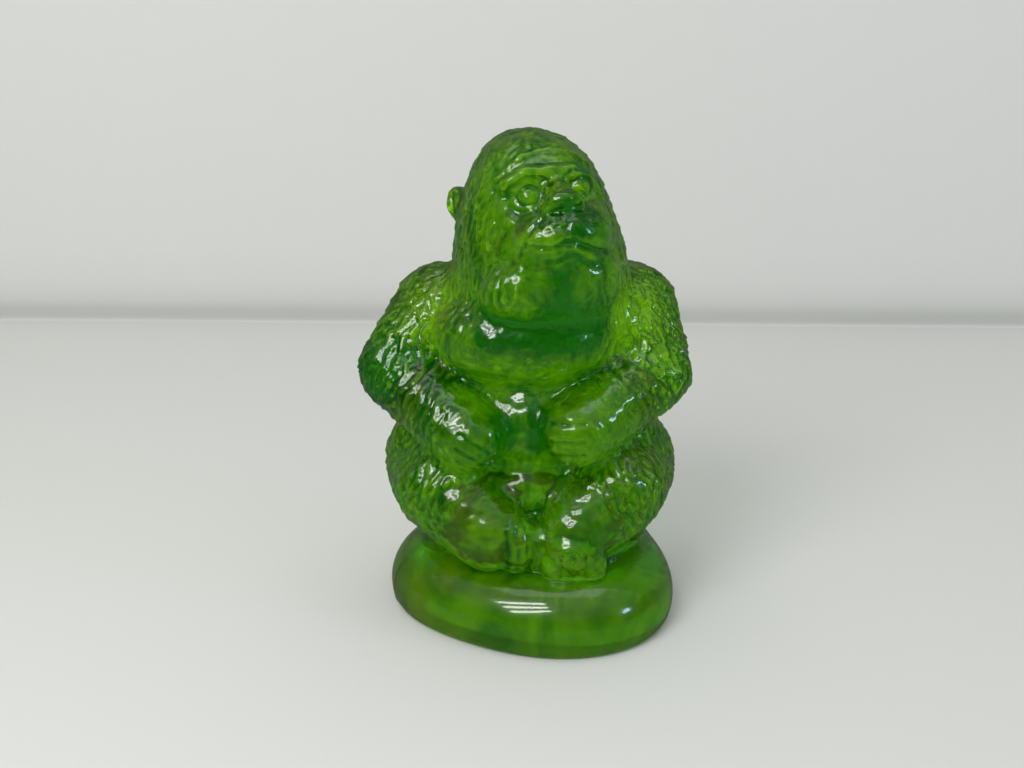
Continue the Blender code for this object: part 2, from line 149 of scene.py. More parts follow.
camera = bpy.data.objects.new("camera", bpy.data.cameras.new("camera"))
bpy.context.scene.collection.objects.link(camera)
camera.location = CAMERA_PLACE
camera.rotation_euler = (math.radians(CAMERA_TILT), 0, 0)
camera.data.sensor_width = SENSOR_WIDTH
camera.data.lens = SENSOR_WIDTH * FOCAL_LENGTH / PHOTO_WIDTH
camera.data.clip_start = 0.01
bpy.context.scene.camera = camera


def hang_lamp(name, azimuth, elevation, distance, size, watts, shift=0, roll=0, colour="#FFFFFF", gloss=1):
    """A flat rectangular lamp that faces the figure; azimuth is 0 in front and grows to the right."""
    a, e = math.radians(azimuth), math.radians(elevation)
    away = Vector((math.sin(a) * math.cos(e), -math.cos(a) * math.cos(e), math.sin(e)))
    data = bpy.data.lights.new(name, "AREA")
    data.shape = "RECTANGLE"
    data.size, data.size_y = size
    data.energy = watts
    data.color = linear(colour)[:3]
    data.specular_factor = gloss
    lamp = bpy.data.objects.new(name, data)
    bpy.context.scene.collection.objects.link(lamp)
    turn = (away.to_track_quat("Z", "Y").to_matrix() @ Matrix.Rotation(math.radians(roll), 3, "Z"))
    lamp.rotation_euler = turn.to_euler()
    lamp.location = LIT_PLACE + away * distance + turn @ Vector((0, shift, 0))


for number, shift in enumerate((-0.065, 0, 0.065)):
    hang_lamp(f"tube_{number}", azimuth=-33, elevation=42, distance=0.4, size=(0.21, 0.026), watts=0.28,
              shift=shift, roll=35, gloss=6)
hang_lamp("window", azimuth=68, elevation=16, distance=0.6, size=(0.09, 0.07), watts=0.3, colour="#BFE0FF", gloss=5)
hang_lamp("ceiling", azimuth=180, elevation=80, distance=0.9, size=(0.9, 0.7), watts=1.9, gloss=0.4)

# The room lights the figure evenly, but what the glass mirrors of it is dark low down and pale overhead
world = bpy.data.worlds.new("pale_room")
bpy.context.scene.world = world
world.use_nodes = True
view = add_node(world, "ShaderNodeTexCoord").outputs["Generated"]
height = add_node(world, "ShaderNodeSeparateXYZ", {"Vector": view}).outputs["Z"]
rise = add_node(world, "ShaderNodeMapRange", {"Value": height, "From Min": 0.3, "From Max": 0.9,
                                              "To Min": 0.04, "To Max": 0.5})
rays = add_node(world, "ShaderNodeLightPath").outputs
mirrored = add_node(world, "ShaderNodeMath", {0: rays["Is Glossy Ray"], 1: rays["Is Transmission Ray"]},
                    operation="SUBTRACT", use_clamp=True)
strength = add_node(world, "ShaderNodeMix", {"Factor": mirrored.outputs["Value"], "A": ROOM_LIGHT,
                                             "B": rise.outputs["Result"]})
background = world.node_tree.nodes["Background"]
world.node_tree.links.new(strength.outputs["Result"], background.inputs["Strength"])
background.inputs["Color"].default_value = linear("#F4F5F2")

scene = bpy.context.scene
scene.view_settings.view_transform = "Standard"
scene.cycles.max_bounces = 24
scene.cycles.glossy_bounces = 16
scene.cycles.transmission_bounces = 24


# Trunk: pressed glass, as all of the figure is. The model for its mould was built up in clay, from round masses
# that run into one another without an edge. Edit-mode tools can't give that, so here masses are piled up too: a
# stack of oval slices, with chest, belly, lap and shoulder blades laid on. The figure's sizes are in millimetres.

TRUNK = ((9, 0.5, 17.5, -13, 15), (13, 1.2, 21, -14, 17), (18, 1, 23.6, -13, 19), (23.5, 0.3, 25.8, -12, 20),
         (29, -0.6, 26.4, -11, 20.5), (35, -0.6, 24.6, -10.5, 20), (42, -0.8, 19.5, -11, 19),
         (50, -0.4, 19.5, -11.5, 18.5), (57, 0.2, 19.5, -11, 18), (62, 0.8, 17, -9, 17), (66, 1, 13, -8, 15.5))
CHEST, CHEST_SIZE = Vector((-1.2, -7, 54.8)), (16.6, 11.5, 8.8)
BELLY, BELLY_SIZE = Vector((-1.2, -6.5, 37.5)), (9.5, 8, 9.5)
SHOULDER_BLADES, BLADE_SIZE = (Vector((-10.5, 8, 50)), Vector((11, 8, 51))), (11.5, 10, 12)
LAP, LAP_SIZE = Vector((-0.8, -9, 26.6)), (7, 6, 4.2)


def bridge(bm, rings):
    """Skins a closed body over rings of equally many corners, given from the lowest up."""
    rings = [[bm.verts.new(corner) for corner in ring] for ring in rings]
    for low, high in zip(rings[:-1], rings[1:]):
        for i in range(len(low)):
            bm.faces.new((low[i - 1], low[i], high[i], high[i - 1]))
    bm.faces.new(reversed(rings[0]))
    bm.faces.new(rings[-1])


def stack(bm, slices, base=0, yaw=0, levels=60, steps=48):
    """Adds a body through slices of (height over the base, middle in x, half width, front, back), turned by yaw."""
    columns = np.array(slices, float).T
    turn = Matrix.Rotation(math.radians(yaw), 3, "Z")
    rings = []
    for z in np.linspace(columns[0][0], columns[0][-1], levels):
        middle, half, front, back = (np.interp(z, columns[0], column) for column in columns[1:])
        ring = []
        for i in range(steps):
            a = math.tau * i / steps
            depth = back if math.sin(a) > 0 else -front
            ring.append(Vector((middle, 0, base + z)) + turn @ Vector((half * math.cos(a), depth * math.sin(a), 0)))
        rings.append(ring)
    bridge(bm, rings)


def ball(bm, centre, size, turn=None):
    """Adds an ellipsoid with these half sizes."""
    place = Matrix.Translation(centre)
    if turn is not None:
        place = place @ turn.to_4x4()
    bmesh.ops.create_icosphere(bm, subdivisions=4, radius=1, matrix=place @ Matrix.Diagonal((*size, 1)))


clay = bmesh.new()
stack(clay, TRUNK)
for centre, size in ((CHEST, CHEST_SIZE), (BELLY, BELLY_SIZE), (LAP, LAP_SIZE)):
    ball(clay, centre, size)
for blade in SHOULDER_BLADES:
    ball(clay, blade, BLADE_SIZE)


# Head: of a piece with the trunk, with hardly a neck, raised and turned a little to the right of the photograph.
# The skull is a stack of slices; muzzle, jaw, chin and jowls are placed in the head's own frame, whose x runs to
# the animal's left, -y out of its face and z to its crown.

NECK_HEIGHT = 56
SKULL = ((0, 1, 12.5, -12, 15), (4, 1.3, 15.2, -17.5, 16), (8, 1.5, 16, -19.6, 16), (12, 1.3, 15.6, -19.6, 15.5),
         (16, 1, 14.9, -18, 15), (20, 0.8, 13.7, -15.8, 15), (24, 0.6, 12.4, -13.8, 14.5),
         (28, 0.4, 10.4, -12, 13), (31, 0.1, 8, -9.8, 11), (33, -0.1, 4.8, -5.7, 8), (34, -0.3, 0.5, -0.5, 3.5))
HEAD = Vector((1.6, -1, NECK_HEIGHT + 18.3))
HEAD_YAW, HEAD_PITCH, HEAD_ROLL = 14, -26, -7
MUZZLE, MUZZLE_SIZE = (-0.5, -11.6, -6), (9.2, 7.8, 5.8)
JAW, JAW_SIZE = (-2.8, -7.2, -12.8), (13, 7.4, 6.4)
CHIN, CHIN_SIZE = (-2.4, -9.3, -10), (9, 6.8, 4.5)  # fills the fold under the lower lip
JOWLS, JOWL_SIZE = ((-8, -5, -7.6), (5.2, -5.8, -7.6)), (5.8, 5.4, 6.8)

HEAD_TURN = (Matrix.Rotation(math.radians(HEAD_YAW), 3, "Z") @ Matrix.Rotation(math.radians(HEAD_PITCH), 3, "X")
             @ Matrix.Rotation(math.radians(HEAD_ROLL), 3, "Y"))


def on_head(place):
    """A place of the head's own frame, in the figure's."""
    return HEAD + HEAD_TURN @ Vector(place)


stack(clay, SKULL, NECK_HEIGHT, HEAD_YAW)
for centre, size in ((MUZZLE, MUZZLE_SIZE), (JAW, JAW_SIZE), (CHIN, CHIN_SIZE)):
    ball(clay, on_head(centre), size, HEAD_TURN)
for jowl in JOWLS:
    ball(clay, on_head(jowl), JOWL_SIZE, HEAD_TURN)


# Arms: heavy and round, bent at the elbow, with both hands closed in the lap. Each is two tapered limbs and a
# ball for the fist. The left one in the photograph comes first in every pair.

SHOULDER_SPREAD, ELBOW_SPREAD, WRIST_SPREAD = 16.8, 24, 11.5  # how far out the joints of a pair lie
SHOULDERS = (Vector((0.7 - SHOULDER_SPREAD, 5, 54.1)), Vector((1 + SHOULDER_SPREAD, 5, 54.2)))
ELBOWS = (Vector((-ELBOW_SPREAD - 0.94, -1.5, 45.9)), Vector((ELBOW_SPREAD - 1.26, -1.5, 45.2)))
WRISTS = (Vector((-WRIST_SPREAD - 1.4, -12.5, 38.4)), Vector((WRIST_SPREAD - 1, -12.5, 39.6)))
SHOULDER_RADIUS, ELBOW_RADIUS, WRIST_RADIUS = 10.2, 7.1, 6.7
FIST_REACH, FIST_SIZES = 3.1, ((6.2, 6.4, 6), (6.6, 6.6, 6.6))


def limb(bm, start, start_radius, end, end_radius):
    """Adds a round-ended, tapered limb between two points."""
    turn = (end - start).to_track_quat("Z", "Y").to_matrix()
    for vert in bmesh.ops.create_icosphere(bm, subdivisions=4, radius=1)["verts"]:
        if vert.co.z > 0:
            vert.co = end + turn @ vert.co * end_radius
        else:
            vert.co = start + turn @ vert.co * start_radius


FISTS = [wrist + (wrist - elbow).normalized() * FIST_REACH for wrist, elbow in zip(WRISTS, ELBOWS)]
for side in (0, 1):
    limb(clay, SHOULDERS[side], SHOULDER_RADIUS, ELBOWS[side], ELBOW_RADIUS)
    limb(clay, ELBOWS[side], ELBOW_RADIUS, WRISTS[side], WRIST_RADIUS)
    ball(clay, FISTS[side], FIST_SIZES[side])


# Legs: drawn in, the knees apart. With them the rough figure is whole: all its masses are fused into one skin of
# even quads, and their joints smoothed over.

HIP_SPREAD, KNEE_SPREAD, ANKLE_SPREAD = 16.3, 16, 8.7
HIPS = (Vector((-HIP_SPREAD, 3, 25.5)), Vector((HIP_SPREAD, 3, 25)))
KNEES = (Vector((-KNEE_SPREAD, -9, 25.2)), Vector((KNEE_SPREAD, -9, 25.2)))
ANKLES = (Vector((1 - ANKLE_SPREAD, -14.6, 19.2)), Vector((ANKLE_SPREAD, -14, 19.6)))
HIP_RADIUS, KNEE_RADIUS, ANKLE_RADIUS = 11.8, 8.8, 7.5
ROUGH_GRAIN, ROUGH_ROUNDS = 0.8, 16

for side in (0, 1):
    limb(clay, HIPS[side], HIP_RADIUS, KNEES[side], KNEE_RADIUS)
    limb(clay, KNEES[side], KNEE_RADIUS, ANKLES[side], ANKLE_RADIUS)


def place_object(bm, name):
    """Makes the bmesh an object, which is then the active one."""
    mesh = bpy.data.meshes.new(name)
    bm.to_mesh(mesh)
    bm.free()
    made = bpy.data.objects.new(name, mesh)
    bpy.context.scene.collection.objects.link(made)
    bpy.context.view_layer.objects.active = made
    return made


def settle(bm, grain, rounds):
    """Fuses everything in bm into one skin with quads of this size, and smooths it."""
    lump = place_object(bm, "lump")
    fuse = lump.modifiers.new("fuse", "REMESH")
    fuse.mode = "VOXEL"
    fuse.voxel_size = grain
    soften = lump.modifiers.new("soften", "SMOOTH")
    soften.factor = 0.5
    soften.iterations = rounds
    bpy.ops.object.modifier_apply(modifier="fuse")
    bpy.ops.object.modifier_apply(modifier="soften")
    settled = bmesh.new()
    settled.from_mesh(lump.data)
    bpy.data.objects.remove(lump)
    return settled


clay = settle(clay, ROUGH_GRAIN, ROUGH_ROUNDS)


# Face and ears: a heavy brow over round eyes, a short broad nose with wide nostrils, cheeks, and small ears that
# stand out of the hair. They are laid on the rough figure as smaller masses.

BROW, BROW_RADIUS = ((-7.8, -11.7, 4.6), (-5, -13.4, 5.5), (-1, -13.8, 5.1), (3.3, -13.3, 4.6), (6.6, -11, 3)), 1.5
NOSE, NOSE_SIZE = Vector((-0.4, -16.8, -0.9)), (3.1, 2.6, 2.2)
NOSE_BRIDGE, NOSE_TIP = NOSE + Vector((0.1, 3.4, 3.9)), NOSE + Vector((0.2, 0.6, 0.2))
NOSTRIL_SPREAD, NOSTRIL_SIZE = 2.4, (1.6, 1.9, 1.5)
CHEEKS, CHEEK_SIZE = ((-6.6, -10.4, -1.8), (5.3, -10.3, -2.4)), (3.2, 2.2, 2.4)
EYE_MIDDLE, EYE_SPREAD, EYE_RADIUS = Vector((-0.2, -12.4, 1.8)), 4.7, 1.8
EAR, EAR_SIZE = Vector((12.1, 6.4, 6.2)), (2.5, 2.3, 3.4)
EAR_ROOT_IN, EAR_ROOT_SIZE = Vector((-2.1, 0.6, -0.8)), (3, 3.2, EAR_SIZE[2] + 0.2)


def to_side(place, side):
    """A place on the left as it is, or mirrored to the right where side is -1."""
    return Vector((place.x * side, place.y, place.z))


def nostril(side):
    return NOSE + to_side(Vector((NOSTRIL_SPREAD, 0.7, -0.5)), side)


def eye(side):
    return EYE_MIDDLE + to_side(Vector((EYE_SPREAD, 0, 0)), side)


for start, end in zip(BROW[:-1], BROW[1:]):
    limb(clay, on_head(start), BROW_RADIUS, on_head(end), BROW_RADIUS)
limb(clay, on_head(NOSE_BRIDGE), NOSE_SIZE[0] * 0.66, on_head(NOSE_TIP), NOSE_SIZE[0] * 0.77)
ball(clay, on_head(NOSE), NOSE_SIZE, HEAD_TURN)
for cheek in CHEEKS:
    ball(clay, on_head(cheek), CHEEK_SIZE, HEAD_TURN)
for side in (-1, 1):
    ear = to_side(EAR, side)
    ball(clay, on_head(nostril(side)), NOSTRIL_SIZE, HEAD_TURN)
    ball(clay, on_head(eye(side)), (EYE_RADIUS, EYE_RADIUS, EYE_RADIUS), HEAD_TURN)
    ball(clay, on_head(ear), EAR_SIZE, HEAD_TURN)
    ball(clay, on_head(ear + to_side(EAR_ROOT_IN, side)), EAR_ROOT_SIZE, HEAD_TURN)


# Feet: drawn in close together, the right one of the photograph forward with its toes in a row, and glass between
# them, where the mould had no room for a gap. With them all is fused and smoothed once more, at the grain that
# the finished glass keeps.

INSTEPS = (ANKLES[0] + Vector((4.6, -2, -1.8)), ANKLES[1] + Vector((-1, -3.4, -2.8)))
INSTEP_SIZES = ((4.3, 4.4, 5.4), (5.9, 5.4, 5.5))
BETWEEN_FEET, BETWEEN_SIZE = Vector((-0.9, 2.4, -0.8)), (5, 4.8, 5.2)
TOES_FROM_INSTEP, TOES_HALF_WIDTH, TOE_RADIUS = Vector((0, -1.8, -2.3)), Vector((3.2, 0, 0)), 2.8
FINE_GRAIN, FINE_ROUNDS = 0.43, 5

for instep, size in zip(INSTEPS, INSTEP_SIZES):
    ball(clay, instep, size)
ball(clay, (INSTEPS[0] + INSTEPS[1]) / 2 + BETWEEN_FEET, BETWEEN_SIZE)
toes = INSTEPS[1] + TOES_FROM_INSTEP
limb(clay, toes - TOES_HALF_WIDTH, TOE_RADIUS, toes + TOES_HALF_WIDTH, TOE_RADIUS)
clay = settle(clay, FINE_GRAIN, FINE_ROUNDS)


# Lines drawn into the skin, as the mould's maker cut them with a round tool: eyelids and sockets, nostrils,
# mouth, whisker pits, ears and hairline, then fingers, toes and spine. Each stroke is a path on the skin with a
# width and a depth, which is negative for a raised line.

LID, SOCKET_RIM, SOCKET = 1.05, 1.5, 2.05  # their radii, as shares of the eye's
UPPER_SOCKET = (20, 160)  # where the fold over the eye starts and ends on its circle
WING_INNER, WING_OUTER = 20, 110  # the crease round each nostril, from straight up
MOUTH = ((-8.4, -6.4), (-6, -7.9), (-4, -8.4), (-2.2, -8), (-0.6, -8.1), (1.2, -9.1), (3.6, -9.9), (6.8, -9.9))
LIP = 1.1  # thickness of the lower lip
WHISKERS = ((-5.6, -4.4), (-4.6, -5.5), (-4.2, -3.9), (-3.2, -5.2), (-2.6, -3.8), (-1.9, -5.6), (2.4, -4.8),
            (3.8, -5.8), (3.9, -4.2), (5.2, -5))
HAIRLINE, HAIRLINE_RADIUS, HAIRLINE_HALF_ANGLE = (-0.2, -3), 12.5, 42
DIGIT_GROOVE, DIGIT_DEPTH = 0.5, 0.4
SPINE = [Vector((0.5, 60, z)) for z in (62, 50, 40, 30, 22)]
BACK = Vector((0, 1, 0))

skin = BVHTree.FromBMesh(clay)
strokes = []


def draw(starts, direction, width, depth):
    """Drops the points onto the skin and keeps the path as a stroke."""
    hits = [skin.ray_cast(start, direction)[0] for start in starts]
    strokes.append(([hit for hit in hits if hit is not None], width, depth))


def draw_face(path, width, depth):
    draw([on_head((x, -40, z)) for x, z in path], HEAD_TURN @ BACK, width, depth)


def draw_front(path):
    draw([Vector((x, -60, z)) for x, z in path], BACK, DIGIT_GROOVE, DIGIT_DEPTH)


def arc(centre, radius, start, end, flat=1, steps=8):
    """Points on an arc in a plane of x and z; flat squashes its height."""
    angles = [math.radians(start + (end - start) * i / steps) for i in range(steps + 1)]
    return [(centre[0] + radius * math.cos(a), centre[1] + radius * flat * math.sin(a)) for a in angles]


for side in (-1, 1):
    socket = (eye(side).x, eye(side).z)
    wing = (nostril(side).x, nostril(side).z)
    draw_face(arc(socket, EYE_RADIUS * LID, 0, 360, 0.85), 0.6, 0.1)
    draw_face(arc(socket, EYE_RADIUS * SOCKET_RIM, 0, 360, 0.8), 0.6, -0.3)
    draw_face(arc(socket, EYE_RADIUS * SOCKET, *UPPER_SOCKET, 0.8), 0.7, 0.5)
    draw_face([(wing[0] - 0.8 * side, wing[1] - 1.2), (wing[0], wing[1] - 1.1)], 0.65, 0.8)
    draw_face(arc(wing, NOSTRIL_SIZE[0] + 0.3, 90 - WING_OUTER * side, 90 - WING_INNER * side), 0.45, 0.4)
    draw_face([(wing[0] + 2 * side, wing[1] - 1.7), (wing[0] + 4.5 * side, wing[1] - 3.7),
               (wing[0] + 6.3 * side, wing[1] - 6.3)], 0.9, 0.55)
    hollow = to_side(EAR + Vector((EAR_SIZE[0] - 0.2, -1, 0)), side)
    strokes.append(([on_head(hollow + Vector((0, 0, 1.4))), on_head(hollow - Vector((0, 0, 1.2)))], 1.2, 0.9))
draw_face([(NOSE.x - 0.2, NOSE.z - 3.2), (NOSE.x - 1.2, NOSE.z - 5.4)], 0.6, 0.35)
draw_face(MOUTH[:4], 0.6, 0.4)
draw_face(MOUTH[3:], 0.6, 0.8)
for x, z in WHISKERS:
    draw_face([(x, z), (x + 0.3, z - 0.1)], 0.45, 0.4)
draw_face([(x, z - LIP) for x, z in MOUTH[3:-1]], 0.6, -0.25)
draw_face([(x * 0.9, z - 2 * LIP) for x, z in MOUTH[1:-1]], 0.6, 0.35)
draw_face(arc(HAIRLINE, HAIRLINE_RADIUS, 90 - HAIRLINE_HALF_ANGLE, 90 + HAIRLINE_HALF_ANGLE), 0.8, -0.35)

FINGERS = ([[(x, z), (x + 3, z - 1.6), (x + 5.2, z - 3.6)] for x, z in ((-2, 2.8), (-2.8, 0.2), (-2.5, -2.4))],
           [[(1, z + 0.4), (-2.4, z + 0.2), (-5, z - 0.4)] for z in (3, 0, -2.8)])
TOES = ([[(x, 4.1), (x + 0.4, 0.1), (x + 0.2, -3.8)] for x in (-1.4, 0.4, 2)],
        [[(x, 0.7), (x, -4)] for x in (-2.4, -0.2, 2)])
for middles, grooves in ((FISTS, FINGERS), (INSTEPS, TOES)):
    for middle, paths in zip(middles, grooves):
        for path in paths:
            draw_front([(middle.x + x, middle.z + z) for x, z in path])
draw(SPINE, -BACK, 4, 0.35)


def skin_arrays(bm):
    bm.normal_update()
    return np.array([v.co for v in bm.verts]), np.array([v.normal for v in bm.verts])


def move_skin(bm, places):
    for vert, place in zip(bm.verts, places):
        vert.co = place


places, normals = skin_arrays(clay)
depths = np.zeros(len(places))
for path, width, depth in strokes:
    path = np.array(path)
    reach = 2 * width
    near = np.flatnonzero(np.all((places > path.min(0) - reach) & (places < path.max(0) + reach), axis=1))
    nearest = np.full(len(near), float(reach))
    for a, b in zip(path[:-1], path[1:]):
        along = b - a
        share = np.clip((places[near] - a) @ along / (along @ along), 0, 1)
        nearest = np.minimum(nearest, np.linalg.norm(places[near] - a - share[:, None] * along, axis=1))
    depths[near] += np.exp(-2 * (nearest / width) ** 2) * depth
move_skin(clay, places - normals * depths[:, None])


# Skin: slightly wavy all over, as a pressing comes out of a worn iron mould. The waves break up the highlights.

RIPPLES = ((2.4, 0.22), (1.1, 0.09))  # size and height of the waves

places, normals = skin_arrays(clay)
waves = np.array([sum(noise.noise(Vector(place) / size) * height for size, height in RIPPLES) for place in places])
move_skin(clay, places + normals * waves[:, None])


# Hair: overlapping tufts, cut one by one into the mould, that hang down all over the figure but leave face,
# chest, belly, hands, knees and feet bare. Each is a ridge that rises along its length and ends bluntly. The real
# strands are finer; these are as fine as the skin's grain can carry.

TUFT_SPACING, TUFT_LENGTH, TUFT_WIDTH, TUFT_HEIGHT = 1.5, 3.2, 0.95, 0.52
TUFT_LENGTHS, TUFT_WIDTHS, TUFT_HEIGHTS = (0.6, 1.9), (0.55, 1.15), (0.6, 1.2)  # least and greatest share of each
HAIR_FALL, HAIR_FAN, HAIR_TANGLE = -20, (0.35, 0.12), 0.42  # straight down, outward per millimetre, and at random
HAIR_FROM, HAIR_FADE = 13, 4  # where it starts above the table, and over what height
BARE_PARTS = ((Vector((0.5, -20, 57)), (15, 14, 5)), (Vector((-1, -16, 48)), (15, 9, 16)),
              (Vector((-1, -15, 33)), (10, 9, 10)), (Vector((-9, -18, 37)), (8, 9, 8)),
              (Vector((7.5, -18, 38)), (8, 9, 8)), (Vector((14, -17, 41)), (7, 8, 6)),
              (Vector((-7, -19, 19)), (10, 11, 12)), (Vector((8, -20, 18)), (9, 11, 11)))  # middle and half sizes
BARE_FACE, BARE_FACE_SIZE = (-0.9, -13.4, -5.2), (11.6, 9.8, 14.3)
HEAD_HAIR_REACH = 17.5  # round the head, where the hair is finer and lies flatter
HEAD_HAIR_WIDTH, HEAD_HAIR_HEIGHT, HEAD_HAIR_LENGTH = 0.8, 0.75, 1.2  # as shares of the body's
BARE_RIM, BARE_INSIDE = 1.15, 0.85  # hair thins out between these shares of a bare part's size
NO_TUFTS = 0.7  # how bare the skin is where no tuft grows
SKIN_SINKS = 0.35  # share of a tuft's height that the skin lies lower, so that hair adds no bulk


def bareness(places):
    """1 where the skin is bare, 0 where hair covers it."""
    bare = np.clip((HAIR_FROM + HAIR_FADE - places[:, 2]) / HAIR_FADE, 0, 1)
    regions = [(centre, size, np.eye(3)) for centre, size in BARE_PARTS]
    regions.append((on_head(BARE_FACE), BARE_FACE_SIZE, np.array(HEAD_TURN)))
    for centre, size, axes in regions:
        far = np.linalg.norm((places - np.array(centre)) @ axes / np.array(size), axis=1)
        bare = np.maximum(bare, np.clip((BARE_RIM - far) / (BARE_RIM - BARE_INSIDE), 0, 1))
    return bare


places, normals = skin_arrays(clay)
bare = bareness(places)
random = np.random.default_rng(3)
tree = KDTree(len(places))
for i, place in enumerate(places):
    tree.insert(place, i)
tree.balance()
taken = bare > NO_TUFTS
lift = np.zeros(len(places))
for root in random.permutation(len(places)):
    if taken[root]:
        continue
    start = places[root]
    taken[[i for _, i, _ in tree.find_range(start, TUFT_SPACING)]] = True
    normal = Vector(normals[root])
    hang = Vector((HAIR_FAN[0] * start[0], HAIR_FAN[1] * start[1], HAIR_FALL))
    along = hang - normal * hang.dot(normal)
    if along.length < 4:  # on top of the head, where down is into the skin
        along = normal.orthogonal()
    along = Matrix.Rotation(random.normal(0, HAIR_TANGLE), 3, normal) @ along.normalized()
    across = normal.cross(along)
    if (Vector(start) - HEAD).length < HEAD_HAIR_REACH:
        width, height, length = TUFT_WIDTH * HEAD_HAIR_WIDTH, TUFT_HEIGHT * HEAD_HAIR_HEIGHT, HEAD_HAIR_LENGTH
    else:
        width, height, length = TUFT_WIDTH * random.uniform(*TUFT_WIDTHS), TUFT_HEIGHT, 1
    length = TUFT_LENGTH * random.uniform(*TUFT_LENGTHS) * length
    near = [i for _, i, _ in tree.find_range(start, length)]
    offset = places[near] - start
    s = offset @ np.array(along) / length
    t = offset @ np.array(across) / width
    # It rises evenly from 0.55 of its length above the root, and breaks off between 0.48 and 0.62 below it
    ridge = np.clip(s + 0.55, 0, 1) * np.clip((0.62 - s) / 0.14, 0, 1) * np.exp(-2 * t ** 2)
    ridge *= (normals[near] @ normals[root] > 0.3) * height * random.uniform(*TUFT_HEIGHTS)
    lift[near] = np.maximum(lift[near], ridge)
lift = (lift - SKIN_SINKS * TUFT_HEIGHT) * (1 - bare)
move_skin(clay, places + normals * lift[:, None])


# Foot: a pebble slab, egg-shaped in plan with its blunt point to the front right, rounded over at the top and
# drawn in a little towards the table. It is fire-polished and smooth but for the mould's joint, a fine raised
# line on both sides. Figure and foot come out of the mould as one solid, with a small cove where they meet.

FOOT_HEIGHT, FOOT_RADIUS = 12.6, 26.85
FOOT_POINT, FOOT_OVAL, FOOT_CORNER = 2.1, 0.6, 1.4  # how far it leans to its point, how oval and three-cornered
FOOT_POINT_ANGLE = -53
FOOT_WAIST = 3.6  # height at which it is widest
FOOT_EDGE = 1.5  # how far it draws in from there down to the table
FOOT_SHOULDER_REACH = 9  # how far in the rounding of its upper edge reaches
FOOT_STEPS, FOOT_ROUND_STEPS = 144, 12
SEAM_ANGLE, SEAM_HALF_ANGLE, SEAM_HEIGHT = 195.4, 0.35, 0.13
COVE_HEIGHT, COVE_WIDTH = 1.2, 0.9

places, normals = skin_arrays(clay)
tree = BVHTree.FromBMesh(clay)
height = (places[:, 2] - FOOT_HEIGHT) / COVE_HEIGHT
widen = np.where(height > 0, np.clip(1 - height, 0, 1) ** 2, np.clip(1 + height, 0, 1))
level = normals * (1, 1, 0)
for i in np.flatnonzero(widen):
    outward = Vector(level[i])
    start = Vector(places[i]) + outward * 0.01
    in_a_gap = tree.ray_cast(start, outward, 4 * COVE_WIDTH)[0] is not None
    if outward.length < 0.5 or in_a_gap:  # there the skin would run into itself
        widen[i] = 0
move_skin(clay, places + level * (COVE_WIDTH * widen)[:, None])
gorilla = place_object(clay, "pressed_gorilla")


def foot_radius(angle):
    turn = angle - math.radians(FOOT_POINT_ANGLE)
    return (FOOT_RADIUS + FOOT_POINT * math.cos(turn) + FOOT_OVAL * math.cos(2 * turn)
            + FOOT_CORNER * math.cos(3 * turn))


# Rings of (inset from the plan, height), from the table up to the edge of the level top
quarter = [math.radians(90 * i / FOOT_ROUND_STEPS) for i in range(FOOT_ROUND_STEPS + 1)]
profile = [(FOOT_EDGE * (1 - math.sin(a)), FOOT_WAIST * (1 - math.cos(a))) for a in quarter[:-1:3]]
profile += [(FOOT_SHOULDER_REACH * (1 - math.cos(a)), FOOT_WAIST + (FOOT_HEIGHT - FOOT_WAIST) * math.sin(a))
            for a in quarter]
seams = [SEAM_ANGLE - 180, SEAM_ANGLE]
angles = [360 * i / FOOT_STEPS for i in range(FOOT_STEPS)]
angles += [seam + step * SEAM_HALF_ANGLE for seam in seams for step in (-1, 0, 1)]
rings = []
for inset, height in profile:
    ring = []
    for angle in sorted(angles):
        a = math.radians(angle)
        radius = foot_radius(a) - inset + (SEAM_HEIGHT if angle in seams else 0)
        ring.append((radius * math.cos(a), radius * math.sin(a), height))
    rings.append(ring)
slab = bmesh.new()
bridge(slab, rings)
foot = place_object(slab, "foot")

union = gorilla.modifiers.new("union", "BOOLEAN")
union.operation = "UNION"
union.solver = "EXACT"
union.object = foot
bpy.context.view_layer.objects.active = gorilla
bpy.ops.object.modifier_apply(modifier="union")
bpy.data.objects.remove(foot)
gorilla.data.transform(Matrix.Scale(MM, 4))
gorilla.data.shade_smooth()


# Glass: soda-lime glass tinted in the melt, pressed while hot and fire-polished. Thick parts are deeper and
# greener, thin ones paler. The melt wasn't stirred through, so it shows swirls, cloudy and pale or clear and dark.
# Over the swirls its colour carries painted light, paler where light shines through thin parts, and painted shade,
# darker in creases, under the chin and by the fists.

SWIRL = 11  # size of a swirl, in millimetres
